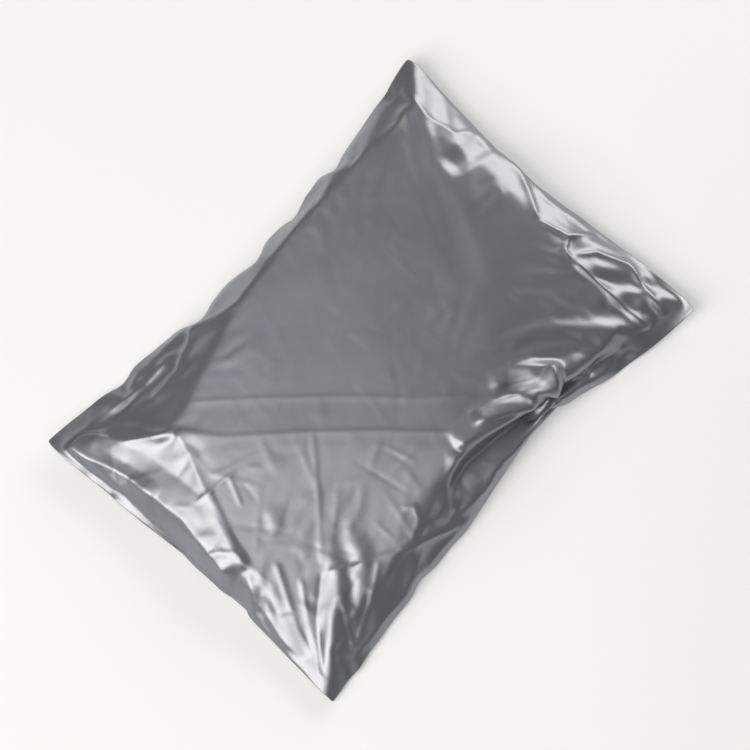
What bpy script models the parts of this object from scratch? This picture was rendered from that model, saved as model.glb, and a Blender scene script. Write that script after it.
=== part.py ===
"""Small poly mailer bag, filled and sealed, lying on its closure side.

A tube of grey film is folded at one end and welded along both sides. A folded garment fills it, and its lip is
folded over the mouth and glued down, so nothing can be seen inside: the pack is one closed solid, drawn as two
panels of film that part at the welds and climb over the contents.

Metres, +Z up. +Y runs from the bottom fold to the folded lip and +X across the bag. The origin is on the floor,
under the middle of the bag.

A place on the film is given as (across, along), measured on the bag laid flat and empty, from its middle.
"""

import math
from dataclasses import dataclass

import bmesh
import bpy

# The bag laid flat and empty
FLAT_WIDTH = 0.165
FLAT_LENGTH = 0.230
FILM_THICKNESS = 0.00008
WELD_WIDTH = 0.006
LIP_LENGTH = 0.040

# The folded garment, which fills the bag but for some slack
CONTENTS_HEIGHT = 0.0215
SIDE_SLACK = 0.0165
END_SLACK = 0.0095
SHOULDER_ROUND = 0.011
SOLE_ROUND = 0.008
SHIFT_ACROSS = -0.004
SHIFT_ALONG = 0.001
CROWN_HEIGHT = 0.0016

# The form of the slopes: shares of a slope that its foot and its head round off, and how sharp a corner's hip is
FOOT_SHARE = 0.2
HEAD_SHARE = 0.5
HIP_SHARPNESS = 1.7

# How the edges lie: the corners near the floor, the middle of each edge higher by its own lift, and each edge
# shorter than the flat film by a share that its puckers take up
CORNER_LIFT = 0.005
RIGHT_LIFT = 0.003
LEFT_LIFT = 0.008
END_LIFT = 0.004
SIDE_GATHER = 0.020
END_GATHER = 0.010

# The right side is slack and drawn in to a waist beside the narrowest part of the garment
WAIST_DRAW = 0.0125
WAIST_ALONG = 0.028
WAIST_REACH = 0.080

# Waves of the welds and puckers of the slopes beside them
WAVE_HEIGHT = 0.0012
WAVE_PITCH = 0.046
PUCKER_HEIGHT = 0.0012
PUCKER_PITCH = 0.021
SOLE_PUCKER_HEIGHT = 0.0005

# The lip's free edge stands off the body panel, which eases down to the floor beside it
LIP_STEP = 0.0004
LIP_RELIEF = 0.014

# Fineness of the panels, the gap that merges doubled points, and the angle from which an edge is drawn sharp
CELL = 0.0036
WELD_CELLS = 1
MERGE_GAP = FILM_THICKNESS / 100
SHARP_ANGLE = math.radians(50)

FILM_COLOUR = (0.205, 0.212, 0.235, 1.0)
FILM_ROUGHNESS = 0.33

HALF_WIDTH = FLAT_WIDTH / 2
HALF_LENGTH = FLAT_LENGTH / 2
LIP_EDGE = HALF_LENGTH - LIP_LENGTH


def ease(share):
    """A smooth step from 0 to 1."""
    held = min(max(share, 0.0), 1.0)
    return held * held * (3 - 2 * held)


def ramp(share):
    """A straight climb from 0 to 1, rounded a little at its foot and more at its head."""
    held = min(max(share, 0.0), 1.0)
    steepness = 1 / (1 - (FOOT_SHARE + HEAD_SHARE) / 2)
    if held < FOOT_SHARE:
        return steepness * held**2 / (2 * FOOT_SHARE)
    if held > 1 - HEAD_SHARE:
        return 1 - steepness * (1 - held) ** 2 / (2 * HEAD_SHARE)
    return steepness * (held - FOOT_SHARE / 2)


def both(first, second):
    """One share of two climbs that meet at a corner, with a rounded hip between them."""
    if min(first, second) <= 0:
        return 0.0
    return (first**-HIP_SHARPNESS + second**-HIP_SHARPNESS - 1) ** (-1 / HIP_SHARPNESS)


def hump(share):
    """0 at both ends of a stretch and 1 in its middle."""
    return 4 * share * (1 - share)


@dataclass(frozen=True)
class Slope:
    """The film between one edge of the bag and the contents.

    film_up and film_down are measured from the edge to where the top panel meets the shoulder of the contents,
    and to where the underside meets the floor. The middle of the edge lies higher than its corners by lift.
    """

    film_up: float
    film_down: float
    lift: float

    def up(self, distance):
        """Share of the climb at this distance from the edge."""
        return ramp((distance - WELD_WIDTH) / (self.film_up - WELD_WIDTH))

    def down(self, distance):
        """Share of the way down to the floor at this distance from the edge."""
        return ramp((distance - WELD_WIDTH) / (self.film_down - WELD_WIDTH))

    def drawn_in(self):
        """How far the climb pulls the edge in, because the film doesn't stretch."""
        slope = self.film_up - WELD_WIDTH
        rise = CONTENTS_HEIGHT - CORNER_LIFT - self.lift
        return slope - math.sqrt(slope**2 - rise**2)


def slope_beside(slack, shift, lift):
    """The slope beside an edge that the contents lie this much nearer to."""
    to_contents = (CONTENTS_HEIGHT + slack) / 2 - shift
    return Slope(to_contents + SHOULDER_ROUND, to_contents + SOLE_ROUND, lift)


RIGHT = slope_beside(SIDE_SLACK, SHIFT_ACROSS, RIGHT_LIFT)
LEFT = slope_beside(SIDE_SLACK, -SHIFT_ACROSS, LEFT_LIFT)
LIP_END = slope_beside(END_SLACK, SHIFT_ALONG, END_LIFT)
FOLD_END = slope_beside(END_SLACK, -SHIFT_ALONG, END_LIFT)


@dataclass(frozen=True)
class Crease:
    """A fold in the top panel, straight on the film, which fades out at both ends.

    start and end are shares of the panel's half width and half length. A height below 0 is a valley.
    """

    start: tuple[float, float]
    end: tuple[float, float]
    height: float
    reach: float

    def at(self, across, along):
        """Height that the fold adds at a place on the film."""
        first = (self.start[0] * HALF_WIDTH, self.start[1] * HALF_LENGTH)
        run = (self.end[0] * HALF_WIDTH - first[0], self.end[1] * HALF_LENGTH - first[1])
        length = math.hypot(*run)
        offset = (across - first[0], along - first[1])
        share = (offset[0] * run[0] + offset[1] * run[1]) / length**2
        if not 0 < share < 1:
            return 0.0
        away = abs(offset[0] * run[1] - offset[1] * run[0]) / length
        return self.height * hump(share) * max(0.0, 1 - away / self.reach) ** 2


@dataclass(frozen=True)
class Fall:
    """A facet of the top panel that falls away beyond a straight line on the film.

    The line runs from start to end, shares of the panel's half width and half length, and the facet lies to its
    right. The panel turns down over the length round_over.
    """

    start: tuple[float, float]
    end: tuple[float, float]
    steepness: float
    round_over: float

    def at(self, across, along):
        """Height that the facet takes away at a place on the film."""
        first = (self.start[0] * HALF_WIDTH, self.start[1] * HALF_LENGTH)
        run = (self.end[0] * HALF_WIDTH - first[0], self.end[1] * HALF_LENGTH - first[1])
        offset = (across - first[0], along - first[1])
        beyond = max(0.0, (offset[0] * run[1] - offset[1] * run[0]) / math.hypot(*run))
        turning = min(beyond, self.round_over)
        return self.steepness * (beyond - turning + turning**2 / (2 * self.round_over))


# The garment lies lower beyond the band across the bag, and lower still in the left corner at the fold
BAND_FALL = Fall((-0.46, -0.69), (0.56, -0.02), 0.085, 0.008)
CORNER_FALL = Fall((-0.64, -0.40), (-0.13, -0.80), 0.22, 0.006)
FALLS = (BAND_FALL, CORNER_FALL)

# A ridge runs out from each corner of the contents to the corner of the bag
CORNER_RIDGES = tuple(
    Crease((0.60 * side, 0.70 * end), (0.97 * side, 0.97 * end), 0.0018, 0.009)
    for side in (-1, 1)
    for end in (-1, 1)
)

# The folds that the film has taken over the contents: the two lines of the band, those that run into the right
# corner at the lip, the rolled lip end, those of the tip at the fold, the slack right side and one soft valley
SETTLED_CREASES = (
    Crease((-0.46, -0.69), (0.56, -0.02), 0.0007, 0.007),
    Crease((-0.62, -0.56), (0.49, 0.20), 0.0006, 0.007),
    Crease((0.15, 0.88), (0.97, 0.90), 0.0018, 0.007),
    Crease((0.42, 0.78), (0.95, 0.83), 0.0013, 0.007),
    Crease((-0.88, 0.84), (-0.30, 0.90), 0.0016, 0.007),
    Crease((-0.30, 0.92), (0.20, 0.84), 0.0014, 0.007),
    Crease((0.10, -0.84), (0.94, -0.95), 0.0018, 0.008),
    Crease((0.38, -0.70), (0.93, -0.93), -0.0013, 0.008),
    Crease((0.50, 0.30), (0.82, -0.05), -0.0018, 0.009),
    Crease((0.60, -0.10), (0.93, -0.40), 0.0016, 0.008),
    Crease((0.66, 0.44), (0.90, 0.10), 0.0014, 0.008),
    Crease((-0.92, 0.10), (-0.62, -0.30), 0.0014, 0.009),
    Crease((-0.45, 0.62), (0.22, 0.48), -0.0010, 0.016),
)


def slopes_near(across, along):
    """The slope of the nearer side and that of the nearer end."""
    return RIGHT if across > 0 else LEFT, LIP_END if along > 0 else FOLD_END


def from_edges(across, along):
    """Distances to the nearer side edge and the nearer end edge."""
    return HALF_WIDTH - abs(across), HALF_LENGTH - abs(along)


def climbed(across, along):
    """Shares of the top panel's climb beside the nearer side and the nearer end."""
    side, end = slopes_near(across, along)
    from_side, from_end = from_edges(across, along)
    return side.up(from_side), end.up(from_end)


def waist(across, along):
    """How far the slack right side is drawn in towards its waist."""
    to_edge = max(0.0, across / HALF_WIDTH) ** 3
    from_waist = min(abs(along - WAIST_ALONG) / WAIST_REACH, 1.0)
    return WAIST_DRAW * to_edge * (1 - from_waist**2) ** 2


def on_plan(across, along):
    """Where a place on the film lies, seen from above. Both panels share it, so their welds meet."""
    up_side, up_end = climbed(across, along)
    side, end = slopes_near(across, along)
    x = across * (1 - END_GATHER * (1 - up_end))
    y = along * (1 - SIDE_GATHER * (1 - up_side))
    x -= math.copysign(side.drawn_in(), across) * (1 - up_side) * up_end
    x -= waist(across, along)
    y -= math.copysign(end.drawn_in(), along) * (1 - up_end) * up_side
    return x, y


def edge_height(across, along):
    """Height of the welds and folded ends off the floor, carried on under the panels."""
    up_side, up_end = climbed(across, along)
    side, end = slopes_near(across, along)
    wave = WAVE_HEIGHT * math.cos(math.tau * along / WAVE_PITCH)
    return CORNER_LIFT + (side.lift + wave) * up_end * (1 - up_side) + end.lift * up_side * (1 - up_end)


def pucker(across, along):
    """The gathers that run up the slopes from the edges, from 0 to 1."""
    up_side, up_end = climbed(across, along)
    beside_welds = hump(up_side) * up_end * (1 + math.cos(math.tau * along / PUCKER_PITCH)) / 2
    beside_ends = hump(up_end) * up_side * (1 + math.cos(math.tau * across / PUCKER_PITCH)) / 2
    return beside_welds + beside_ends


def layers(along):
    """Films that lie on each other at the edge: two panels, and the lip where it is folded over them."""
    return 3 if along > LIP_EDGE - CELL / 2 else 2


def top_point(across, along):
    """A point of the panel that faces up."""
    edge = edge_height(across, along)
    clear = ease((min(from_edges(across, along)) - WELD_WIDTH) / SHOULDER_ROUND)
    folds = sum(crease.at(across, along) for crease in CORNER_RIDGES + SETTLED_CREASES)
    crown = CROWN_HEIGHT * (1 - (across / HALF_WIDTH) ** 2) * (1 - (along / HALF_LENGTH) ** 2)
    fallen = sum(fall.at(across, along) for fall in FALLS)
    full = max(CONTENTS_HEIGHT + crown - fallen, edge)
    height = edge + (full - edge) * both(*climbed(across, along))
    height += folds * clear + PUCKER_HEIGHT * pucker(across, along)
    return *on_plan(across, along), height + layers(along) * FILM_THICKNESS


def under_point(across, along, beside_lip):
    """A point of the closure side. beside_lip is true on the body panel, which the lip's free edge presses in."""
    side, end = slopes_near(across, along)
    from_side, from_end = from_edges(across, along)
    down_side = side.down(from_side)
    off_floor = 1 - both(down_side, end.down(from_end))
    slack = SOLE_PUCKER_HEIGHT * pucker(across, along)
    pressed = ease(1 - (LIP_EDGE - along) / LIP_RELIEF) if beside_lip else 0.0
    height = (edge_height(across, along) + slack) * off_floor + LIP_STEP * pressed * down_side
    return *on_plan(across, along), height


def stations(half, extra=()):
    """Places of the mesh lines from one edge to the other, with a line at each weld and at each extra place."""
    inner = half - WELD_WIDTH
    count = 2 * round(inner / CELL)
    weld = [half - WELD_WIDTH * step / WELD_CELLS for step in range(WELD_CELLS)]
    lines = [-place for place in weld]
    lines += [-inner + 2 * inner * step / count for step in range(count + 1)]
    lines += reversed(weld)
    for place in extra:
        nearest = min(range(len(lines)), key=lambda index: abs(lines[index] - place))
        lines[nearest] = place
    return lines


def add_panel(bm, columns, rows, point):
    """Adds a grid whose lines lie at these places on the film, and returns its faces."""
    spans = (len(columns) - 1, len(rows) - 1)
    grid = bmesh.ops.create_grid(bm, x_segments=spans[0], y_segments=spans[1], size=0.5)
    for vert in grid["verts"]:
        column = round((vert.co.x + 0.5) * spans[0])
        row = round((vert.co.y + 0.5) * spans[1])
        vert.co = point(columns[column], rows[row], row)
    return list({face for vert in grid["verts"] for face in vert.link_faces})


def add_closure_side(bm, columns, rows):
    """Adds the underside, with the step down to the lip along the lip's free edge."""
    lip_row = rows.index(LIP_EDGE)
    doubled = rows[: lip_row + 1] + rows[lip_row:]
    under = add_panel(bm, columns, doubled, lambda across, along, row: under_point(across, along, row <= lip_row))
    bmesh.ops.reverse_faces(bm, faces=under)
    bmesh.ops.remove_doubles(bm, verts=bm.verts[:], dist=MERGE_GAP)


def flatten_sole(bm):
    """Makes one face of each stretch that lies on the floor."""
    on_floor = [face for face in bm.faces if all(vert.co.z == 0 for vert in face.verts)]
    bmesh.ops.dissolve_faces(bm, faces=on_floor)


def mailer_mesh():
    """The closed solid: the underside, the top panel, and the cut edge of the film all round."""
    columns = stations(HALF_WIDTH)
    rows = stations(HALF_LENGTH, extra=(LIP_EDGE,))
    bm = bmesh.new()
    add_closure_side(bm, columns, rows)
    flatten_sole(bm)
    add_panel(bm, columns, rows, lambda across, along, row: top_point(across, along))
    bmesh.ops.bridge_loops(bm, edges=[edge for edge in bm.edges if edge.is_boundary])
    bmesh.ops.recalc_face_normals(bm, faces=bm.faces[:])
    mesh = bpy.data.meshes.new("mailer_bag")
    bm.to_mesh(mesh)
    bm.free()
    mesh.shade_smooth()
    mesh.set_sharp_from_angle(angle=SHARP_ANGLE)
    return mesh


def film_material():
    """Grey polyethylene film with a soft gloss."""
    material = bpy.data.materials.new("grey_film")
    material.use_nodes = True
    shader = material.node_tree.nodes["Principled BSDF"]
    shader.inputs["Base Color"].default_value = FILM_COLOUR
    shader.inputs["Roughness"].default_value = FILM_ROUGHNESS
    return material


def main():
    for obj in list(bpy.data.objects):
        bpy.data.objects.remove(obj, do_unlink=True)
    mesh = mailer_mesh()
    mesh.materials.append(film_material())
    bpy.context.scene.collection.objects.link(bpy.data.objects.new("mailer_bag", mesh))


main()
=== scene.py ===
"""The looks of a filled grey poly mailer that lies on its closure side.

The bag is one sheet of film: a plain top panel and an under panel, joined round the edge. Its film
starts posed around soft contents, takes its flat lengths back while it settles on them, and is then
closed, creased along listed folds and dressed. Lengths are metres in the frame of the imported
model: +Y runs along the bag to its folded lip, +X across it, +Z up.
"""

import logging
import math
from dataclasses import dataclass
from enum import Enum

import bmesh
import bpy
import numpy as np
from mathutils import Matrix, Vector
from mathutils.bvhtree import BVHTree


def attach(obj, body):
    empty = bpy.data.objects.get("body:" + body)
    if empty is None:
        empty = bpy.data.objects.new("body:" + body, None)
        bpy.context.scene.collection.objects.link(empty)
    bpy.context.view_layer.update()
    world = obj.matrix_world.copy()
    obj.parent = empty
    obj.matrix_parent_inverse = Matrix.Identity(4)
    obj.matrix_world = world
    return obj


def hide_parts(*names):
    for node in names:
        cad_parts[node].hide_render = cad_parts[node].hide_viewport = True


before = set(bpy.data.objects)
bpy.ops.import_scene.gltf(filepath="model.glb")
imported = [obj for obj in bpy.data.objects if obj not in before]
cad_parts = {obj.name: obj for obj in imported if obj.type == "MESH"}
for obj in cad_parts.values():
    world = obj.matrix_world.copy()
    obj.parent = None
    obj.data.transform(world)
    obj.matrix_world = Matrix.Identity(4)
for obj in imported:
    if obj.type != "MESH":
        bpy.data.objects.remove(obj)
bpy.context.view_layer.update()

log = logging.getLogger("poly_mailer")

NODE = "mailer_bag"
BODY = "root"
FLAT_PLACE = "flat_place"
PANEL_SIDE = "panel_side"
WELD = "weld"
HELD = "held"
MM = 0.001
LEAST_RISE = 1e-4
MERGE_REACH = 1e-6
TINY = 1e-12
MIX_FROM, MIX_TO, MIX_RESULT = 6, 7, 2      # the sockets of a Mix node for colours

Point = tuple[float, float, float]
Place = tuple[float, float]
Colour = tuple[float, float, float]
Array = np.ndarray
Socket = bpy.types.NodeSocket


class Panel(Enum):
    """The two panels of the bag, by the side on which they face out."""

    TOP = 1.0
    UNDER = -1.0


def swell(share: Array) -> Array:
    """Returns a smooth rise from 0 to 1 as share goes from 0 to 1."""
    held = np.clip(share, 0.0, 1.0)
    return held * held * (3.0 - 2.0 * held)


def hump(place: Array, middle: float, reach: float) -> Array:
    """Returns a smooth bump of height 1 at middle that ends at reach on both sides."""
    return np.clip(1.0 - ((place - middle) / reach) ** 2, 0.0, None) ** 2


def lesser(first: Array, second: Array, sharpness: float) -> Array:
    """Blends two rises so that they meet in a rounded ridge.

    Args:
        first: Rise from one side, 0 to 1.
        second: Rise from one end, 0 to 1.
        sharpness: How closely the blend follows the lower of the two.

    Returns:
        The joint rise, 0 where either is 0 and 1 where both are 1.
    """
    raised = [np.maximum(rise, LEAST_RISE) ** -sharpness for rise in (first, second)]
    joint = (raised[0] + raised[1] - 1.0) ** (-1.0 / sharpness)
    return np.where(np.minimum(first, second) <= LEAST_RISE, 0.0, joint)


def read_vectors(items: bpy.types.bpy_prop_collection, name: str) -> Array:
    """Reads a vector property of every item into an array.

    Args:
        items: Vertices of a mesh, or the data of one of its vector attributes.
        name: The property to read, such as co, normal or vector.

    Returns:
        An array with one row of three numbers for each item.
    """
    flat = np.empty(len(items) * 3)
    items.foreach_get(name, flat)
    return flat.reshape(-1, 3)


def stored(working: bmesh.types.BMesh, name: str) -> bpy.types.Mesh:
    """Stores a mesh that was built in memory.

    Args:
        working: The mesh as it was built, which is freed.
        name: Name of the stored mesh.

    Returns:
        The stored mesh.
    """
    made = bpy.data.meshes.new(name)
    working.to_mesh(made)
    working.free()
    return made


def square_sheet(name: str, reach: float) -> bpy.types.Mesh:
    """Builds one level square face round the origin.

    Args:
        name: Name of the mesh.
        reach: How far it goes to each side.

    Returns:
        The mesh.
    """
    sheet = bmesh.new()
    bmesh.ops.create_grid(sheet, x_segments=1, y_segments=1, size=reach)
    return stored(sheet, name)


def link(name: str, mesh: bpy.types.Mesh) -> bpy.types.Object:
    """Makes an object from a mesh and links it to the scene.

    Args:
        name: Name of the object.
        mesh: Its mesh.

    Returns:
        The linked object, at the origin.
    """
    made = bpy.data.objects.new(name, mesh)
    bpy.context.scene.collection.objects.link(made)
    return made


def discard(piece: bpy.types.Object) -> None:
    """Removes a working object with its mesh.

    Args:
        piece: The object, which no longer exists afterwards.
    """
    mesh = piece.data
    bpy.data.objects.remove(piece, do_unlink=True)
    bpy.data.meshes.remove(mesh)


@dataclass(frozen=True)
class FlatBag:
    """The empty bag as it is cut: its flat size, its joined edges and the grid of its film."""

    width: float = 0.165
    length: float = 0.230
    weld_width: float = 0.006
    fold_width: float = 0.002
    lip_length: float = 0.040
    lip_step: float = 0.0004
    lip_relief: float = 0.014
    edge_thickness: float = 0.0003
    cell: float = 0.0018

    @property
    def columns(self) -> int:
        """Number of cells across the bag."""
        return round(self.width / self.cell)

    @property
    def rows(self) -> int:
        """Number of cells along the bag."""
        return round(self.length / self.cell)

    def from_side(self, x: Array) -> Array:
        """Returns the distance from the nearer long side."""
        return self.width / 2.0 - np.abs(x)

    def from_end(self, y: Array) -> Array:
        """Returns the distance from the nearer end."""
        return self.length / 2.0 - np.abs(y)

    def joined(self, x: Array, y: Array) -> Array:
        """Tells where the two panels are one, in the side welds and the end folds.

        Args:
            x: Flat places across the bag.
            y: Flat places along the bag.

        Returns:
            True for each place in a weld or a fold.
        """
        slack = self.cell / 2.0
        in_weld = self.from_side(x) < self.weld_width + slack
        in_fold = self.from_end(y) < self.fold_width + slack
        return in_weld | in_fold

    def cells(self, flat: Array) -> tuple[Array, Array]:
        """Finds the cells of flat places.

        Args:
            flat: One flat place in each row.

        Returns:
            The grid column and the grid row of each place.
        """
        column = np.rint((flat[:, 0] / self.width + 0.5) * self.columns).astype(int)
        row = np.rint((flat[:, 1] / self.length + 0.5) * self.rows).astype(int)
        return column, row

    def add_panel(self, mesh: bmesh.types.BMesh, side: Panel) -> list[bmesh.types.BMFace]:
        """Adds one flat panel to a mesh, with its faces out.

        Args:
            mesh: The mesh that takes the panel.
            side: Which panel it is. The under panel lies lower, apart from its joined edges.

        Returns:
            The faces of the panel.
        """
        size = Matrix.Diagonal((self.width, self.length, 1.0, 1.0))
        made = bmesh.ops.create_grid(
            mesh, x_segments=self.columns, y_segments=self.rows, size=0.5, matrix=size
        )
        faces = list(dict.fromkeys(face for vert in made["verts"] for face in vert.link_faces))
        if side is Panel.UNDER:
            bmesh.ops.reverse_faces(mesh, faces=faces)
        return faces


@dataclass(frozen=True)
class Crumple:
    """Small random creases that the film has kept from handling."""

    creases: int
    height: float
    seed: int
    narrow: float = 0.004
    wide: float = 0.010
    short: float = 0.012
    long: float = 0.045

    def relief(self, bag: FlatBag, x: Array, y: Array) -> Array:
        """Works out how far the creases lift the film.

        Args:
            bag: The flat bag that carries the creases.
            x: Flat places across the bag.
            y: Flat places along the bag.

        Returns:
            The lift at each place.
        """
        chance = np.random.default_rng(self.seed)
        lift = np.zeros_like(x)
        for _ in range(self.creases):
            middle_x = chance.uniform(-bag.width / 2.0, bag.width / 2.0)
            middle_y = chance.uniform(-bag.length / 2.0, bag.length / 2.0)
            turn = chance.uniform(0.0, math.pi)
            reach = chance.uniform(self.short, self.long)
            width = chance.uniform(self.narrow, self.wide)
            along = (x - middle_x) * math.cos(turn) + (y - middle_y) * math.sin(turn)
            across = (y - middle_y) * math.cos(turn) - (x - middle_x) * math.sin(turn)
            tent = np.clip(1.0 - np.abs(across) / width, 0.0, None)
            way = chance.choice([-1.0, 1.0])
            lift += way * tent * np.clip(1.0 - (along / reach) ** 2, 0.0, None)
        return lift * self.height


class Profile(Enum):
    """The form of a fold across its line."""

    SHARP = "sharp"
    FLAT = "flat"
    SOFT = "soft"

    def across(self, share: Array) -> Array:
        """Gives the fold's height from its line to its foot.

        Args:
            share: How far each place is from the line, as a share of the fold's reach.

        Returns:
            The height at each place: 1 on the line, 0 at the foot.
        """
        if self is Profile.SHARP:
            return (1.0 - share) ** 2
        if self is Profile.FLAT:
            return 1.0 - share
        return (1.0 - share**2) ** 2


@dataclass(frozen=True)
class Crease:
    """One fold of the film, along a line on the flat top panel. Its sizes are millimetres.

    Its flanks to the left and right of the line have their own widths. Its height grows over
    the length of its fade at each end of the line.
    """

    path: tuple[Place, ...]
    height: float
    left: float
    right: float
    profile: Profile = Profile.SHARP
    fade: float = 4.0

    def relief(self, x: Array, y: Array) -> Array:
        """Works out how far the crease lifts the film.

        Args:
            x: Flat places across the bag, in millimetres.
            y: Flat places along the bag, in millimetres.

        Returns:
            The lift at each place, below 0 for a valley.
        """
        nearest = np.full_like(x, np.inf)
        lift = np.zeros_like(x)
        travelled = 0.0
        whole = sum(math.dist(first, last) for first, last in zip(self.path, self.path[1:]))
        for first, last in zip(self.path, self.path[1:]):
            length = math.dist(first, last)
            way_x, way_y = (last[0] - first[0]) / length, (last[1] - first[1]) / length
            along = np.clip((x - first[0]) * way_x + (y - first[1]) * way_y, 0.0, length)
            off_x, off_y = x - first[0] - along * way_x, y - first[1] - along * way_y
            away = np.hypot(off_x, off_y)
            reach = np.where(way_x * off_y - way_y * off_x > 0.0, self.left, self.right)
            share = np.clip(away / reach, 0.0, 1.0)
            profile = self.profile.across(share)
            place = travelled + along
            ends = swell(place / self.fade) * swell((whole - place) / self.fade)
            closer = away < nearest
            lift = np.where(closer, profile * ends, lift)
            nearest = np.where(closer, away, nearest)
            travelled += length
        return lift * self.height


Folds = tuple[Crease, ...]


@dataclass(frozen=True)
class Taut:
    """Parts of a panel that are pulled or pressed smooth, each marked by a line of height 1."""

    lines: Folds
    passes: int = 60
    pace: float = 0.5

    def drawn(self, bag: FlatBag, points: Array) -> Array:
        """Draws those parts smooth.

        Args:
            bag: The flat bag.
            points: The settled points of the panel, by grid column and row.

        Returns:
            The points, smoother near the lines.
        """
        across = np.linspace(-bag.width / 2.0, bag.width / 2.0, bag.columns + 1) / MM
        along = np.linspace(-bag.length / 2.0, bag.length / 2.0, bag.rows + 1) / MM
        x, y = np.meshgrid(across, along, indexing="ij")
        marked = np.max([line.relief(x, y) for line in self.lines], axis=0)[1:-1, 1:-1, None]
        drawn = points.copy()
        for _ in range(self.passes):
            beside = drawn[2:, 1:-1] + drawn[:-2, 1:-1] + drawn[1:-1, 2:] + drawn[1:-1, :-2]
            drawn[1:-1, 1:-1] += marked * self.pace * (beside / 4.0 - drawn[1:-1, 1:-1])
        return drawn


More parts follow.
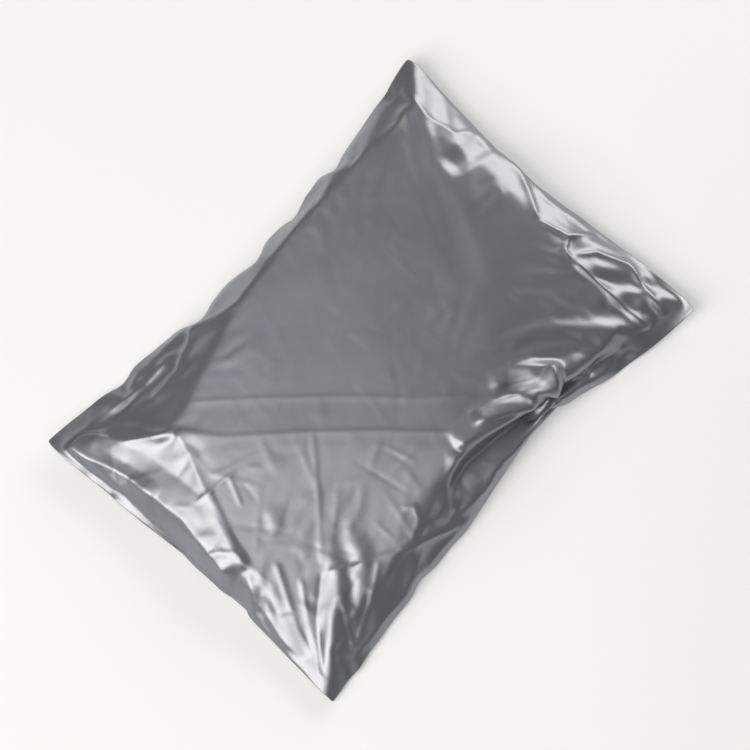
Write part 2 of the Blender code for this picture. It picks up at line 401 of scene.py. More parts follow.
@dataclass(frozen=True)
class Handling:
    """The listed folds and the fine wrinkles that finish the top panel."""

    # The facet, the dark strip and the edge of the bottom end.
    bottom_end: Folds = (
        Crease(((-78.9, -109.2), (-69.8, -98.9), (-57.3, -92.6), (-48.7, -83.0), (-43.1, -75.1)),
               0.7, 5.0, 5.0),
        Crease(((-43.1, -75.1), (-31.5, -78.2), (-15.1, -85.9), (2.2, -92.8), (18.7, -98.6)),
               0.6, 5.0, 4.0),
        Crease(((18.7, -98.6), (29.8, -105.1), (46.2, -110.5), (74.3, -112.0)), 0.6, 4.0, 4.0),
        Crease(((-80.0, -112.5), (-60.2, -106.5), (-43.3, -102.3), (-16.5, -99.8), (1.9, -102.6),
                (18.0, -106.0)), 3.0, 12.0, 11.0, Profile.FLAT, 8.0),
        Crease(((-80.0, -108.0), (-66.0, -107.0), (-50.0, -104.0), (-30.0, -101.0)),
               1.0, 5.0, 8.0, Profile.FLAT, 4.0),
        Crease(((0.1, -106.9), (5.6, -99.4), (12.3, -94.9), (18.7, -98.6)), 0.4, 2.5, 2.5),
    )
    # The two straight lines of the band, and one that crosses the lower half.
    band: Folds = (
        Crease(((-43.4, -74.8), (-26.4, -63.9), (-3.1, -40.4), (21.0, -17.8), (44.5, 2.4)),
               0.28, 2.0, 5.0),
        Crease(((-46.4, -61.5), (-25.0, -40.7), (-0.9, -18.1), (24.0, 3.6), (40.8, 20.8)),
               0.22, 2.0, 4.0),
        Crease(((0.6, -37.1), (21.3, -56.5), (41.8, -77.1)), 0.22, 2.5, 2.5),
    )
    # Short sharp folds by the facet.
    nicks: Folds = (
        Crease(((-15.8, -92.1), (-13.9, -81.1), (-12.3, -69.8)), 0.35, 1.8, 1.8),
        Crease(((-14.3, -73.7), (-7.4, -76.5), (0.6, -80.5)), 0.35, 1.8, 1.8),
        Crease(((-17.9, -82.9), (-2.9, -89.0), (9.2, -93.8)), 0.30, 1.8, 1.8),
    )
    # The crest beside the bottom tip, and the folds that run together in it.
    tip: Folds = (
        Crease(((43.3, -76.9), (50.1, -68.8), (57.4, -55.3), (68.2, -36.6), (76.0, -22.3)),
               0.7, 3.0, 5.0),
        Crease(((41.8, -77.1), (53.6, -94.4), (73.7, -112.0)), -0.5, 2.5, 2.5),
        Crease(((36.4, -84.7), (54.3, -99.2), (74.0, -112.0)), 0.5, 2.5, 2.5),
        Crease(((24.5, -86.9), (50.6, -102.5), (73.7, -112.0)), 0.5, 3.0, 3.0),
        Crease(((53.0, -78.3), (67.4, -87.7), (76.0, -93.0)), 0.5, 3.0, 3.0),
        Crease(((56.4, -57.3), (65.7, -72.4), (76.0, -93.0)), 0.5, 3.0, 3.0),
    )
    # The crest and the hollow of the right wall, and the fan of folds above it.
    right_wall: Folds = (
        Crease(((49.3, -2.9), (51.8, 9.8), (59.4, 26.7), (64.7, 41.7), (62.5, 48.9), (65.6, 57.2),
                (74.4, 63.7)), 2.4, 9.0, 5.0, Profile.FLAT),
        Crease(((63.0, -24.0), (61.0, -4.0), (64.0, 14.0), (69.0, 32.0), (72.0, 44.0)),
               -4.6, 9.0, 9.0, Profile.SOFT, 14.0),
        Crease(((49.3, -2.9), (55.2, -9.3), (61.2, -20.7), (64.5, -32.1)),
               1.1, 7.0, 4.0, Profile.FLAT),
        Crease(((65.0, 41.0), (53.0, 54.5)), 4.4, 19.0, 5.0, Profile.FLAT, 5.0),
        Crease(((47.0, 9.0), (54.0, 23.0), (62.5, 37.0)), 2.0, 8.0, 2.5, Profile.FLAT, 6.0),
        Crease(((42.0, 26.0), (47.0, 35.0), (55.0, 46.0)), 1.2, 7.0, 2.5, Profile.FLAT, 6.0),
        Crease(((57.0, 30.0), (46.0, 42.0)), -1.4, 12.0, 10.0, Profile.SOFT, 6.0),
        Crease(((46.0, 22.0), (53.4, 35.0), (58.5, 44.0)), -0.5, 2.0, 2.0),
        Crease(((49.3, -37.0), (52.5, -31.9), (58.2, -34.5), (61.4, -42.8), (59.4, -51.3)),
               0.5, 2.5, 2.5),
    )
    # The facets and crests of the lip end.
    lip_end: Folds = (
        Crease(((-76.3, 108.5), (-76.4, 102.0), (-57.7, 98.4), (-43.3, 100.8), (-37.4, 109.6)),
               0.5, 3.0, 4.0),
        Crease(((-25.9, 112.0), (-12.1, 108.5), (-1.5, 102.0), (8.6, 94.9)), 1.0, 3.0, 4.0),
        Crease(((-20.2, 112.1), (5.9, 106.6), (18.4, 109.4), (31.2, 112.0)), 0.6, 3.0, 3.0),
        Crease(((8.6, 94.9), (22.0, 98.8), (31.2, 112.0)), 0.9, 2.5, 2.5),
        Crease(((21.9, 100.3), (25.3, 93.0), (31.2, 91.8)), 1.0, 2.5, 2.5),
        Crease(((31.2, 91.8), (44.5, 92.5), (64.8, 92.9), (78.2, 94.9)), 1.3, 5.0, 3.0),
        Crease(((30.2, 94.5), (35.7, 102.7), (49.5, 109.1), (65.0, 104.7), (78.6, 103.8)),
               1.2, 3.0, 4.0),
        Crease(((62.5, 82.6), (72.1, 88.1), (78.2, 94.9)), -0.5, 3.0, 3.0),
        Crease(((-35.5, 84.0), (-32.0, 97.0), (-31.0, 112.0)), -1.6, 8.0, 7.0, Profile.SOFT, 7.0),
    )
    # Long shallow hollows on the level top.
    hollows: Folds = (
        Crease(((-70.9, 99.4), (-42.3, 80.7), (-17.2, 68.2), (14.8, 51.0)),
               -0.6, 9.0, 9.0, Profile.SOFT, 20.0),
        Crease(((-32.9, 106.6), (-19.7, 92.6), (-6.6, 81.0)), -0.5, 7.0, 7.0, Profile.SOFT, 15.0),
    )
    # The folds beside the left edge.
    left_side: Folds = (
        Crease(((-76.0, -101.5), (-74.2, -82.7), (-71.4, -68.5), (-70.8, -53.8)), 0.7, 4.0, 4.0),
        Crease(((-62.4, -71.4), (-62.7, -54.6), (-72.2, -36.9), (-61.0, -16.3)), 0.8, 4.0, 5.0),
    )
    # Fine wrinkles, in full below the band and much weaker above it.
    wrinkles: Crumple = Crumple(
        creases=260, height=0.00014, seed=17, narrow=0.0012, wide=0.0030, short=0.004, long=0.018
    )
    band_place: Place = (-43.4, -76.1)
    band_way: Place = (0.75, 0.661)
    smooth_share: float = 0.25
    band_fade: float = 8.0
    edge_fade: float = 4.0

    @property
    def creases(self) -> Folds:
        """All the listed folds."""
        lower = self.bottom_end + self.band + self.nicks + self.tip
        return lower + self.right_wall + self.lip_end + self.hollows + self.left_side

    def relief(self, bag: FlatBag, x: Array, y: Array) -> Array:
        """Works out how far the folds and wrinkles lift the top panel.

        Args:
            bag: The flat bag that carries them.
            x: Flat places across the bag.
            y: Flat places along the bag.

        Returns:
            The lift at each place, 0 on the joined edges.
        """
        folds = sum(crease.relief(x / MM, y / MM) for crease in self.creases) * MM
        right = x / MM - self.band_place[0]
        up = y / MM - self.band_place[1]
        below_band = right * self.band_way[1] - up * self.band_way[0]
        rough = self.smooth_share + (1.0 - self.smooth_share) * swell(below_band / self.band_fade)
        clear_side = swell((bag.from_side(x) - bag.weld_width) / (self.edge_fade * MM))
        clear_end = swell((bag.from_end(y) - bag.fold_width) / (self.edge_fade * MM))
        return (folds + self.wrinkles.relief(bag, x, y) * rough) * clear_side * clear_end


@dataclass(frozen=True)
class Contents:
    """The folded garment in the bag: a convex pack through listed corners, rounded.

    The corners are in millimetres.
    """

    top_corners: tuple[Point, ...] = (
        (-44, -77, 19.0), (-52, -52, 20.5), (-62, -16, 21.0), (-66, 20, 19.5), (-67, 60, 17.5),
        (-66, 90, 14.5), (-61, 103, 9.5), (-40, 105, 11.0), (-18, 106, 11.5), (10, 104, 12.0),
        (34, 102, 11.0), (55, 92, 10.0), (-58, 94, 15.0), (-30, 96, 16.5), (4, 95, 17.0),
        (30, 91, 16.0), (56, 52, 16.5), (50, 30, 20.0), (45, 10, 21.5), (48, -4, 21.5),
        (55, -26, 19.0), (59, -42, 17.0), (62, -62, 14.5), (62, -84, 11.0), (56, -96, 9.5),
        (38, -100, 12.0), (16, -98, 15.0), (-15, -88, 17.5), (-48, -92, 11.0), (-30, -101, 9.5),
        (-8, -104, 9.0), (20, -106, 8.0),
    )
    crown: tuple[Point, ...] = (
        (-30, -70, 21.2), (-10, -52, 22.2), (10, -34, 22.6), (30, -15, 22.4), (-40, -30, 22.4),
        (-45, 10, 22.2), (-30, 50, 21.2), (0, 60, 21.0), (25, 45, 21.2), (0, 10, 22.8),
        (30, 12, 22.6), (-35, 78, 19.2), (5, 80, 18.8), (-5, 90, 17.2),
    )
    waist: tuple[Point, ...] = (
        (-60, -80, 8.0), (-70, 0, 9.0), (-70, 70, 8.0), (-61, 105, 6.0), (0, 107, 6.0),
        (58, 90, 6.0), (58, 30, 7.0), (57, -10, 6.0), (63, -60, 6.0), (62, -96, 6.0),
        (10, -106, 6.0), (-46, -97, 6.0),
    )
    sole: tuple[Point, ...] = (
        (-56, -82, 0.0), (-60, 0, 0.0), (-57, 84, 0.0), (50, 82, 0.0), (50, 0, 0.0), (56, -84, 0.0),
    )
    lift: Point = (0.0, 0.0, 0.0012)
    halvings: int = 3
    softenings: int = 2
    softening: float = 0.5

    def mesh(self, scale: float) -> bpy.types.Mesh:
        """Builds the pack as a closed mesh.

        Args:
            scale: How many times its real size it is made.

        Returns:
            The mesh, with its rounded edges.
        """
        pack = bmesh.new()
        for corner in self.top_corners + self.crown + self.waist + self.sole:
            place = Vector([size * MM for size in corner]) + Vector(self.lift)
            pack.verts.new(place * scale)
        hull = bmesh.ops.convex_hull(pack, input=pack.verts[:])
        left_over = dict.fromkeys(hull["geom_interior"] + hull["geom_unused"])
        spare = [item for item in left_over if isinstance(item, bmesh.types.BMVert)]
        bmesh.ops.delete(pack, geom=spare, context="VERTS")
        bmesh.ops.triangulate(pack, faces=pack.faces[:])
        for _ in range(self.halvings):
            bmesh.ops.subdivide_edges(pack, edges=pack.edges[:], cuts=1, use_grid_fill=True)
            bmesh.ops.triangulate(pack, faces=pack.faces[:])
        for _ in range(self.softenings):
            bmesh.ops.smooth_vert(
                pack, verts=pack.verts[:], factor=self.softening,
                use_axis_x=True, use_axis_y=True, use_axis_z=True,
            )
        return stored(pack, "contents")


@dataclass(frozen=True)
class PosedFilm:
    """The film's start: drawn over the contents with soft slopes, still too short."""

    height: float = 0.025
    crown: float = 0.0040
    edge_height: float = 0.005
    left_lift: float = 0.008
    right_lift: float = 0.003
    end_lift: float = 0.004
    left_slope: float = 0.015
    right_slope: float = 0.018
    lip_slope: float = 0.012
    fold_slope: float = 0.018
    under_slope_share: float = 0.7
    ridge: float = 1.7
    clearance: float = 0.003
    floor_gap: float = 0.0006
    film_gap: float = 0.0005
    left_draw: float = 0.0035
    right_draw: float = 0.0015
    waist_draw: float = 0.0125
    waist_at: float = 0.028
    waist_reach: float = 0.080
    lip_draw: float = 0.0040
    fold_draw: float = 0.0042
    fold_waist_draw: float = 0.0060
    draw_power: int = 3
    probe_height: float = 0.060

    def place(self, bag: FlatBag, x: Array, y: Array, side: Panel) -> Array:
        """Poses flat places around the contents.

        Args:
            bag: The flat bag.
            x: Flat places across the bag.
            y: Flat places along the bag.
            side: The panel that the places belong to.

        Returns:
            One posed point for each place.
        """
        slope_side = np.where(x > 0.0, self.right_slope, self.left_slope)
        slope_end = np.where(y > 0.0, self.lip_slope, self.fold_slope)
        share = 1.0 if side is Panel.TOP else self.under_slope_share
        rise_side = swell((bag.from_side(x) - bag.weld_width) / (slope_side * share))
        rise_end = swell((bag.from_end(y) - bag.fold_width) / (slope_end * share))
        risen = lesser(rise_side, rise_end, self.ridge)
        lift_side = np.where(x > 0.0, self.right_lift, self.left_lift)
        edge = self.edge_height + lift_side * rise_end * (1.0 - rise_side)
        edge = edge + self.end_lift * rise_side * (1.0 - rise_end)
        dome = self.crown * (1.0 - (2.0 * x / bag.width) ** 2) * (1.0 - (2.0 * y / bag.length) ** 2)
        over = edge + (self.height - edge + dome) * risen + self.clearance * np.sqrt(risen)
        below = np.maximum(edge * (1.0 - risen), self.floor_gap)
        z = np.where(bag.joined(x, y), edge, over if side is Panel.TOP else below)
        waist = self.waist_draw * hump(y, self.waist_at, self.waist_reach)
        draw_side = np.where(x > 0.0, self.right_draw + waist, self.left_draw)
        fold_waist = self.fold_waist_draw * hump(x, 0.0, bag.width / 2.0)
        draw_end = np.where(y > 0.0, self.lip_draw, self.fold_draw + fold_waist)
        drawn_x = x - np.sign(x) * draw_side * np.abs(2.0 * x / bag.width) ** self.draw_power
        drawn_y = y - np.sign(y) * draw_end * np.abs(2.0 * y / bag.length) ** self.draw_power
        return np.column_stack((drawn_x, drawn_y, z))


@dataclass(frozen=True)
class Settling:
    """How the film settles: Blender's cloth, worked at a size where its margins are fine."""

    scale: float = 10.0
    frames: int = 36
    flat_by: int = 18
    cloth: tuple[tuple[str, object], ...] = (
        ("quality", 5), ("mass", 0.3), ("tension_stiffness", 60.0), ("compression_stiffness", 60.0),
        ("shear_stiffness", 42.0), ("bending_model", "ANGULAR"), ("bending_stiffness", 8.0),
        ("bending_stiffness_max", 60.0), ("vertex_group_bending", WELD), ("tension_damping", 10.0),
        ("compression_damping", 10.0), ("shear_damping", 10.0), ("bending_damping", 0.5),
        ("air_damping", 2.0), ("use_dynamic_mesh", True), ("vertex_group_mass", HELD),
        ("pin_stiffness", 1.0),
    )
    gravity_share: float = 0.3
    skin: float = 0.0003
    inner_skin: float = 0.005
    contents_friction: float = 0.5
    floor_friction: float = 10.0
    collision_damping: float = 0.5
    collision_passes: int = 3
    floor_reach: float = 0.4
    corner_pull: float = 0.1
    corner_reach: float = 0.012
    left_pull: float = 0.02
    former_at: Place = (0.166, 0.028)
    former_radius: float = 0.100
    former_height: float = 0.060
    former_sides: int = 96
    flat_shift: Point = (0.0030, -0.0010, 0.0)
    farthest: float = 0.030

    def add_key(self, film: bpy.types.Object, flat: Array) -> None:
        """Gives the film its flat lengths as a shape that it goes over to.

        Args:
            film: The posed film.
            flat: Where each of its vertices lies in the flat bag.
        """
        film.shape_key_add(name="posed")
        key = film.shape_key_add(name="flat")
        key.data.foreach_set("co", ((flat + np.array(self.flat_shift)) * self.scale).ravel())
        key.value = 0.0
        key.keyframe_insert("value", frame=1)
        key.value = 1.0
        key.keyframe_insert("value", frame=self.flat_by)

    def add_groups(self, film: bpy.types.Object, bag: FlatBag, flat: Array) -> None:
        """Marks the stiff joined edges and the corners that keep their place.

        Args:
            film: The posed film.
            bag: The flat bag.
            flat: Where each of its vertices lies in the flat bag.
        """
        x, y = flat[:, 0], flat[:, 1]
        weld = film.vertex_groups.new(name=WELD)
        weld.add(np.flatnonzero(bag.joined(x, y)).tolist(), 1.0, "REPLACE")
        held = film.vertex_groups.new(name=HELD)
        from_corner = np.maximum(bag.from_side(x), bag.from_end(y))
        pull = self.corner_pull * np.clip(1.0 - from_corner / self.corner_reach, 0.0, None)
        on_left = (x < 0.0) & (bag.from_side(x) < bag.weld_width / 2.0)
        pull = np.where(on_left, np.maximum(pull, self.left_pull), pull)
        for index in np.flatnonzero(pull).tolist():
            held.add([index], float(pull[index]), "REPLACE")

    def add_cloth(self, film: bpy.types.Object) -> None:
        """Puts the cloth on the film.

        Args:
            film: The posed film, with its groups.
        """
        cloth = film.modifiers.new("Cloth", "CLOTH")
        for name, value in self.cloth:
            setattr(cloth.settings, name, value)
        cloth.settings.effector_weights.gravity = self.gravity_share
        cloth.collision_settings.distance_min = self.skin * self.scale
        cloth.collision_settings.collision_quality = self.collision_passes
        cloth.collision_settings.use_self_collision = False
        cloth.point_cache.frame_start = 1
        cloth.point_cache.frame_end = self.frames

    def obstacle(self, name: str, mesh: bpy.types.Mesh, friction: float) -> bpy.types.Object:
        """Makes a working object that the film can't pass.

        Args:
            name: Name of the object.
            mesh: Its mesh, at the enlarged size.
            friction: How strongly it holds the film.

        Returns:
            The object.
        """
        made = link(name, mesh)
        made.modifiers.new("Collision", "COLLISION")
        made.collision.thickness_outer = self.skin * self.scale
        made.collision.thickness_inner = self.inner_skin * self.scale
        made.collision.cloth_friction = friction
        made.collision.damping = self.collision_damping
        return made

    def former_mesh(self) -> bpy.types.Mesh:
        """Builds the upright round former that keeps the right side drawn in.

        Returns:
            Its mesh, at the enlarged size.
        """
        post = bmesh.new()
        middle = Vector((*self.former_at, self.former_height / 2.0)) * self.scale
        radius = self.former_radius * self.scale
        bmesh.ops.create_cone(
            post, cap_ends=True, segments=self.former_sides, radius1=radius, radius2=radius,
            depth=self.former_height * self.scale, matrix=Matrix.Translation(middle),
        )
        return stored(post, "settling_former")

    def run(self, film: bpy.types.Object, bag: FlatBag, flat: Array, contents: Contents) -> Array:
        """Settles the film on its contents and on the floor.

        Args:
            film: The posed film at the enlarged size.
            bag: The flat bag.
            flat: Where each of its vertices lies in the flat bag, with the creases it keeps.
            contents: What is in the bag.

        Returns:
            The settled vertices at their real size, none moved farther than the film may go.
        """
        posed = read_vectors(film.data.vertices, "co")
        self.add_key(film, flat)
        self.add_groups(film, bag, flat)
        self.add_cloth(film)
        floor = square_sheet("settling_floor", self.floor_reach * self.scale)
        obstacles = (
            self.obstacle("settling_contents", contents.mesh(self.scale), self.contents_friction),
            self.obstacle("settling_floor", floor, self.floor_friction),
            self.obstacle("settling_former", self.former_mesh(), self.contents_friction),
        )
        scene = bpy.context.scene
        scene.frame_start = 1
        scene.frame_end = self.frames
        for step in range(1, self.frames + 1):
            scene.frame_set(step)
        settled_film = film.evaluated_get(bpy.context.evaluated_depsgraph_get())
        settled = read_vectors(settled_film.data.vertices, "co")
        scene.frame_set(1)
        for obstacle in obstacles:
            discard(obstacle)
        moved = settled - posed
        distance = np.linalg.norm(moved, axis=1, keepdims=True)
        held = np.minimum(1.0, self.farthest * self.scale / np.maximum(distance, TINY))
        return (posed + moved * held) / self.scale


def add_node(
    tree: bpy.types.NodeTree,
    kind: str,
    settings: dict[str, object],
    inputs: dict[int | str, object],
    output: int | str = 0,
) -> Socket | None:
    """Adds any node to a tree.

    Args:
        tree: The node tree.
        kind: The node's type.
        settings: Its properties, set first.
        inputs: What its sockets take, by name or number: an output to link, or a plain value.
        output: The output that is returned.

    Returns:
        That output, or None for a node that has none.
    """
    node = tree.nodes.new(kind)
    for name, value in settings.items():
        setattr(node, name, value)
    for name, value in inputs.items():
        if isinstance(value, Socket):
            tree.links.new(value, node.inputs[name])
        else:
            node.inputs[name].default_value = value
    return node.outputs[output] if node.outputs else None


def maths(operation: str, first: Socket, second: Socket | float) -> Socket:
    """Adds a Math node to the tree of its first input, and returns its output."""
    inputs = {0: first, 1: second}
    return add_node(first.id_data, "ShaderNodeMath", {"operation": operation}, inputs)


def empty_material(name: str) -> bpy.types.Material:
    """Makes a material that has no nodes yet.

    Args:
        name: Name of the material.

    Returns:
        The material, with its empty tree.
    """
    made = bpy.data.materials.new(name)
    made.use_nodes = True
    made.node_tree.nodes.clear()
    return made


@dataclass(frozen=True)
class GreyFilm:
    """The mailer's film: grey pigmented polyethylene with a soft silvery gloss, finely crinkled."""

    dark: Colour = (0.225, 0.235, 0.274)
    light: Colour = (0.293, 0.306, 0.356)
    roughness: float = 0.36
    roughness_spread: float = 0.08
    metallic: float = 0.72
    cloud_scale: float = 28.0
    cloud_detail: float = 4.0
    cloud_middle: float = 0.5
    crinkle_scale: float = 90.0
    crinkle_detail: float = 3.0
    crinkle_height: float = 0.00012
    grain_scale: float = 900.0
    grain_detail: float = 2.0
    grain_height: float = 0.000012

    def noise(self, place: Socket, scale: float, detail: float, form: str = "FBM") -> Socket:
        """Returns a noise over the film that changes about scale times in a metre."""
        inputs = {"Vector": place, "Scale": scale, "Detail": detail}
        return add_node(place.id_data, "ShaderNodeTexNoise", {"noise_type": form}, inputs)

    def material(self) -> bpy.types.Material:
        """Builds the film's material.

        Returns:
            The material, whose patterns follow the flat film.
        """
        made = empty_material("grey_film")
        tree = made.node_tree
        place = add_node(tree, "ShaderNodeAttribute", {"attribute_name": FLAT_PLACE}, {}, "Vector")
        cloud = self.noise(place, self.cloud_scale, self.cloud_detail)
        crinkle = self.noise(place, self.crinkle_scale, self.crinkle_detail, "RIDGED_MULTIFRACTAL")
        grain = self.noise(place, self.grain_scale, self.grain_detail)
        crinkle_rise = maths("MULTIPLY", crinkle, self.crinkle_height)
        grain_rise = maths("MULTIPLY", grain, self.grain_height)
        height = maths("ADD", crinkle_rise, grain_rise)
        inputs = {"Height": height, "Distance": 1.0, "Strength": 1.0}
        bump = add_node(tree, "ShaderNodeBump", {}, inputs)
        inputs = {"Factor": cloud, MIX_FROM: (*self.dark, 1.0), MIX_TO: (*self.light, 1.0)}
        colour = add_node(tree, "ShaderNodeMix", {"data_type": "RGBA"}, inputs, MIX_RESULT)
        off_middle = maths("SUBTRACT", cloud, self.cloud_middle)
        spread = maths("MULTIPLY", off_middle, self.roughness_spread)
        inputs = {
            "Base Color": colour,
            "Metallic": self.metallic,
            "Roughness": maths("ADD", spread, self.roughness),
            "Normal": bump,
        }
        shader = add_node(tree, "ShaderNodeBsdfPrincipled", {}, inputs)
        add_node(tree, "ShaderNodeOutputMaterial", {}, {"Surface": shader})
        return made


@dataclass(frozen=True)
class MailerBag:
    """The filled bag: one closed piece of film around its contents."""

    bag: FlatBag = FlatBag()
    contents: Contents = Contents()
    pose: PosedFilm = PosedFilm()
    settling: Settling = Settling()
    handling: Handling = Handling()
    film: GreyFilm = GreyFilm()
    top_crumple: Crumple = Crumple(
        creases=90, height=0.0014, seed=31, narrow=0.006, wide=0.014, short=0.015, long=0.060
    )
    under_crumple: Crumple = Crumple(creases=100, height=0.0010, seed=4)
    calm_share: float = 0.65
    calm_from_side: float = 0.040
    calm_from_end: float = 0.050
    calm_ridge: float = 1.7
    # The bottom facet, the right wall and the strip along the bottom end.
    top_taut: Taut = Taut(
        (
            Crease(((-68.0, -97.0), (-50.0, -91.0), (-30.0, -93.0), (-8.0, -99.0)),
                   1.0, 9.0, 9.0, Profile.SOFT, 6.0),
            Crease(((62.0, -36.0), (61.0, -8.0), (65.0, 14.0), (69.0, 34.0)),
                   1.0, 10.0, 9.0, Profile.SOFT, 8.0),
            Crease(((-78.0, -109.5), (-45.0, -109.5), (0.0, -110.0)),
                   1.0, 8.0, 8.0, Profile.SOFT, 5.0),
        )
    )
    # The underside, which the contents press flat.
    under_taut: Taut = Taut(
        (Crease(((0.0, -95.0), (0.0, 95.0)), 1.0, 75.0, 75.0, Profile.SOFT, 15.0),), passes=90
    )

    def flat_film(self) -> bpy.types.Mesh:
        """Builds the flat bag as two panels that share their joined edges.

        Returns:
            Its mesh, with the under panel lower except at those edges.
        """
        film = bmesh.new()
        self.bag.add_panel(film, Panel.TOP)
        top = set(film.verts)
        under_faces = self.bag.add_panel(film, Panel.UNDER)
        for vert in film.verts:
            if vert not in top and not self.joined_at(vert.co):
                vert.co.z = Panel.UNDER.value
        doubled = [
            face for face in under_faces if all(self.joined_at(vert.co) for vert in face.verts)
        ]
        bmesh.ops.delete(film, geom=doubled, context="FACES")
        bmesh.ops.remove_doubles(film, verts=film.verts[:], dist=MERGE_REACH)
        return stored(film, "film")

    def clear_of_contents(self, posed: Array, is_under: Array) -> Array:
        """Moves posed points that would start inside the contents to just outside them.

        Args:
            posed: Where the film's vertices start.
            is_under: True for the vertices of the under panel.

        Returns:
            The points, each above or below the contents as its panel lies.
        """
        mesh = self.contents.mesh(1.0)
        faces = [face.vertices[:] for face in mesh.polygons]
        pack = BVHTree.FromPolygons([vert.co for vert in mesh.vertices], faces)
        bpy.data.meshes.remove(mesh)
        cleared = posed.copy()
        for index, (place, under) in enumerate(zip(posed, is_under)):
            way = -1.0 if under else 1.0
            start = Vector((place[0], place[1], way * self.pose.probe_height))
            hit = pack.ray_cast(start, Vector((0.0, 0.0, -way)))[0]
            if hit is not None and (place[2] - hit.z) * way < self.pose.film_gap:
                cleared[index, 2] = hit.z + way * self.pose.film_gap
        return cleared

    def joined_at(self, place: Vector) -> bool:
        """Tells whether the panels are one at a flat place."""
        return bool(self.bag.joined(np.array(place.x), np.array(place.y)))

    def panel_points(self) -> dict[Panel, Array]:
        """Settles the film.

        Returns:
            The settled points of each panel, by grid column and row.
        """
        mesh = self.flat_film()
        built = read_vectors(mesh.vertices, "co")
        x, y = built[:, 0], built[:, 1]
        is_under = built[:, 2] < 0.0
        posed = np.where(
            is_under[:, None],
            self.pose.place(self.bag, x, y, Panel.UNDER),
            self.pose.place(self.bag, x, y, Panel.TOP),
        )
        posed = self.clear_of_contents(posed, is_under)
        settled = self.settled(mesh, built, posed, is_under)
        column, row = self.bag.cells(built)
        top = np.zeros((self.bag.columns + 1, self.bag.rows + 1, 3))
        top[column[~is_under], row[~is_under]] = settled[~is_under]
        under = top.copy()
        under[column[is_under], row[is_under]] = settled[is_under]
        return self.parted({Panel.TOP: top, Panel.UNDER: under})

    def parted(self, points: dict[Panel, Array]) -> dict[Panel, Array]:
        """Parts the panels where the settled film has passed through itself near its edges.

        Args:
            points: The settled points of each panel, by grid column and row.

        Returns:
            The points, with each pair at least the film's double thickness apart in height.
        """
        gap = points[Panel.TOP][:, :, 2] - points[Panel.UNDER][:, :, 2]
        missing = np.where(gap == 0.0, 0.0, np.clip(self.bag.edge_thickness - gap, 0.0, None))
        parted = {side: grid.copy() for side, grid in points.items()}
        for side, grid in parted.items():
            grid[:, :, 2] += side.value * missing / 2.0
        return parted

    def settled(self, mesh: bpy.types.Mesh, built: Array, posed: Array, is_under: Array) -> Array:
        """Runs the settling on the film's mesh.

        Args:
            mesh: The film, flat.
            built: Its vertices in the flat bag.
            posed: Where they start.
            is_under: True for the vertices of the under panel.

        Returns:
            Where they settle.
        """
        x, y = built[:, 0], built[:, 1]
        inward = np.clip(self.bag.from_side(x) / self.calm_from_side, 0.0, 1.0)
        along = np.clip(self.bag.from_end(y) / self.calm_from_end, 0.0, 1.0)
        near_edge = 1.0 - self.calm_share * lesser(inward, along, self.calm_ridge)
        top_lift = self.top_crumple.relief(self.bag, x, y) * near_edge
        under_lift = self.under_crumple.relief(self.bag, x, y)
        lift = np.where(is_under, under_lift, top_lift) + self.pose.edge_height
        flat = np.column_stack((x, y, lift))
        mesh.vertices.foreach_set("co", (posed * self.settling.scale).ravel())
        film = link("settling_film", mesh)
        settled = self.settling.run(film, self.bag, flat, self.contents)
        discard(film)
        return settled

    def closed_film(self, points: dict[Panel, Array]) -> bpy.types.Mesh:
        """Closes the settled panels into one body.

        Args:
            points: The settled points of each panel, by grid column and row.

        Returns:
            The closed mesh, with each vertex's flat place and panel side as attributes.
        """
        film = bmesh.new()
        flat_layer = film.verts.layers.float_vector.new(FLAT_PLACE)
        side_layer = film.verts.layers.float.new(PANEL_SIDE)
        rims = []
        for side in Panel:
            faces = self.bag.add_panel(film, side)
            verts = list(dict.fromkeys(vert for face in faces for vert in face.verts))
            skin = points[side] + self.outward(points[side], side) * self.bag.edge_thickness / 2.0
            columns, rows = self.bag.cells(np.array([vert.co for vert in verts]))
            for vert, place in zip(verts, skin[columns, rows].tolist()):
                vert[flat_layer] = vert.co
                vert[side_layer] = side.value
                vert.co = place
            edges = dict.fromkeys(edge for face in faces for edge in face.edges)
            rims += [edge for edge in edges if edge.is_boundary]
        bmesh.ops.bridge_loops(film, edges=rims)
        bmesh.ops.recalc_face_normals(film, faces=film.faces[:])
        return stored(film, NODE)

    def outward(self, points: Array, side: Panel) -> Array:
        """Returns the unit normal at each settled point of a panel, facing out."""
        normal = np.cross(np.gradient(points, axis=0), np.gradient(points, axis=1)) * side.value
        return normal / np.maximum(np.linalg.norm(normal, axis=2, keepdims=True), TINY)

    def creased(self, film: bpy.types.Mesh) -> Array:
        """Adds the listed folds and the step of the glued lip.

        Args:
            film: The closed film with its flat places and panel sides.

        Returns:
            Where each of its vertices goes.
        """
        flat = read_vectors(film.attributes[FLAT_PLACE].data, "vector")
        side = np.empty(len(film.vertices))
        film.attributes[PANEL_SIDE].data.foreach_get("value", side)
        x, y = flat[:, 0], flat[:, 1]
        top = self.handling.relief(self.bag, x, y) * (side > 0.0)
        lip_edge = self.bag.length / 2.0 - self.bag.lip_length
        beside = swell(1.0 - (lip_edge - y) / self.bag.lip_relief) * (y < lip_edge)
        clear = swell((self.bag.from_side(x) - self.bag.weld_width) / self.bag.lip_relief)
        under = -self.bag.lip_step * beside * clear * (side < 0.0)
        moved = read_vectors(film.vertices, "normal") * (top + under)[:, None]
        return read_vectors(film.vertices, "co") + moved

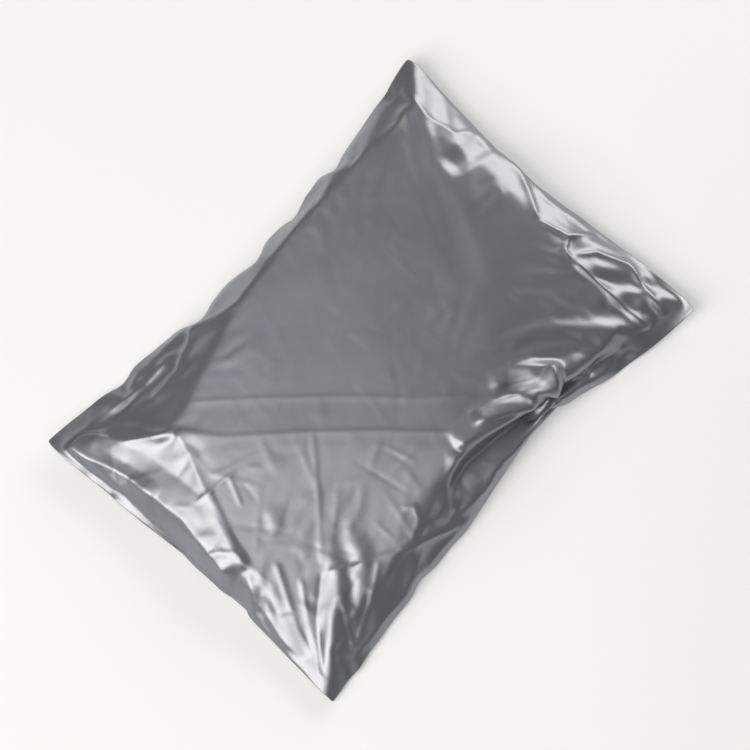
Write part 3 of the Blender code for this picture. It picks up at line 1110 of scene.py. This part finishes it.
    def build(self) -> bpy.types.Object:
        """Builds the finished bag.

        Returns:
            The bag as one object at the origin, its lowest point on the floor.
        """
        points = self.panel_points()
        points[Panel.TOP] = self.top_taut.drawn(self.bag, points[Panel.TOP])
        points[Panel.UNDER] = self.under_taut.drawn(self.bag, points[Panel.UNDER])
        rough = link("rough_film", self.closed_film(points))
        smoothing = rough.modifiers.new("Subdivision", "SUBSURF")
        smoothing.levels = 1
        smoothing.render_levels = 1
        depsgraph = bpy.context.evaluated_depsgraph_get()
        fine = bpy.data.meshes.new_from_object(rough.evaluated_get(depsgraph))
        discard(rough)
        fine.name = "poly_mailer"
        places = self.creased(fine)
        places[:, 2] -= places[:, 2].min()
        fine.vertices.foreach_set("co", places.ravel())
        fine.shade_smooth()
        piece = link("poly_mailer", fine)
        self.dress(piece)
        return piece

    def dress(self, piece: bpy.types.Object) -> None:
        """Gives the bag its finish and puts it in the place of its CAD node.

        Args:
            piece: The finished bag.
        """
        piece.data.materials.clear()
        piece.data.materials.append(self.film.material())
        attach(piece, BODY)
        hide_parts(NODE)


@dataclass(frozen=True)
class SoftBox:
    """A square or oblong soft lamp that points at the bag."""

    name: str
    right: float
    away: float
    height: float
    width: float
    depth: float
    watts: float
    colour: Colour = (1.0, 1.0, 1.0)


@dataclass(frozen=True)
class Studio:
    """A pale floor, soft lamps and the camera, placed as seen by the camera."""

    azimuth: float = 42.4
    elevation: float = 77.0
    distance: float = 2.2
    frame_width: float = 0.315
    sensor: float = 36.0
    aim: Point = (0.0, 0.0, 0.010)
    floor_reach: float = 3.0
    floor_colour: Colour = (0.805, 0.826, 0.866)
    floor_white: float = 0.25
    white_rays: tuple[str, ...] = ("Is Camera Ray", "Is Glossy Ray", "Is Transmission Ray")
    sky_colour: Colour = (0.95, 0.975, 1.0)
    sky_level: float = 0.113
    lamps: tuple[SoftBox, ...] = (
        SoftBox("key_box", -0.74, -0.54, 0.94, 0.85, 1.15, 16.3, (1.0, 0.94, 0.83)),
        SoftBox("top_box", -0.16, -0.18, 1.25, 0.50, 0.55, 1.3, (1.0, 0.985, 0.95)),
        SoftBox("rear_box", 0.50, 0.88, 0.42, 1.20, 0.55, 8.8, (1.0, 0.95, 0.84)),
        SoftBox("back_box", -0.30, 0.40, 1.25, 0.50, 0.60, 0.78),
        SoftBox("front_box", 0.05, -0.70, 0.95, 0.50, 0.35, 1.55, (1.0, 0.96, 0.88)),
    )

    def axes(self) -> tuple[Vector, Vector]:
        """Works out the floor directions of the picture.

        Returns:
            The directions that point right and away in it.
        """
        turn = math.radians(self.azimuth)
        away = Vector((-math.sin(turn), math.cos(turn), 0.0))
        return away.cross(Vector((0.0, 0.0, 1.0))), away

    def add_camera(self) -> None:
        """Makes the camera and looks through it."""
        _, away = self.axes()
        tilt = math.radians(self.elevation)
        back = Vector((0.0, 0.0, math.sin(tilt))) - away * math.cos(tilt)
        lens = bpy.data.cameras.new("camera")
        lens.sensor_width = self.sensor
        lens.lens = self.sensor * self.distance / self.frame_width
        camera = bpy.data.objects.new("camera", lens)
        bpy.context.scene.collection.objects.link(camera)
        camera.location = Vector(self.aim) + back * self.distance
        camera.rotation_euler = back.to_track_quat("Z", "Y").to_euler()
        bpy.context.scene.camera = camera

    def add_lamp(self, box: SoftBox) -> None:
        """Makes one soft lamp.

        Args:
            box: Its place, size and light.
        """
        right, away = self.axes()
        lamp = bpy.data.lights.new(box.name, "AREA")
        lamp.shape = "RECTANGLE"
        lamp.size = box.width
        lamp.size_y = box.depth
        lamp.energy = box.watts
        lamp.color = box.colour
        holder = bpy.data.objects.new(box.name, lamp)
        bpy.context.scene.collection.objects.link(holder)
        place = right * box.right + away * box.away + Vector((0.0, 0.0, box.height))
        holder.location = place
        back = place - Vector(self.aim)
        holder.rotation_euler = back.to_track_quat("Z", "Y").to_euler()

    def add_floor(self) -> None:
        """Makes the pale floor."""
        floor = link("floor", square_sheet("floor", self.floor_reach))
        floor.data.materials.append(self.floor_material())

    def floor_material(self) -> bpy.types.Material:
        """Builds the floor's material, a pale matt board.

        Returns:
            The material: nearly white to the camera and in reflections, with its shadows kept.
        """
        made = empty_material("floor")
        tree = made.node_tree
        rays = [add_node(tree, "ShaderNodeLightPath", {}, {}, ray) for ray in self.white_rays]
        seen = maths("MAXIMUM", maths("MAXIMUM", rays[0], rays[1]), rays[2])
        board = add_node(tree, "ShaderNodeBsdfDiffuse", {}, {"Color": (*self.floor_colour, 1.0)})
        white = add_node(tree, "ShaderNodeEmission", {}, {"Strength": 1.0})
        inputs = {0: maths("MULTIPLY", seen, self.floor_white), 1: board, 2: white}
        mixed = add_node(tree, "ShaderNodeMixShader", {}, inputs)
        add_node(tree, "ShaderNodeOutputMaterial", {}, {"Surface": mixed})
        return made

    def add_sky(self) -> None:
        """Makes the plain light all round."""
        world = bpy.data.worlds.new("studio")
        world.use_nodes = True
        background = world.node_tree.nodes["Background"]
        background.inputs["Color"].default_value = (*self.sky_colour, 1.0)
        background.inputs["Strength"].default_value = self.sky_level
        bpy.context.scene.world = world

    def build(self) -> None:
        """Makes the whole studio."""
        self.add_floor()
        self.add_sky()
        for box in self.lamps:
            self.add_lamp(box)
        self.add_camera()
        bpy.context.scene.view_settings.view_transform = "Standard"


def main() -> None:
    """Builds the bag and its studio."""
    logging.basicConfig(level=logging.INFO)
    piece = MailerBag().build()
    log.info("%s: %d faces", piece.name, len(piece.data.polygons))
    Studio().build()


if __name__ == "__main__":
    main()
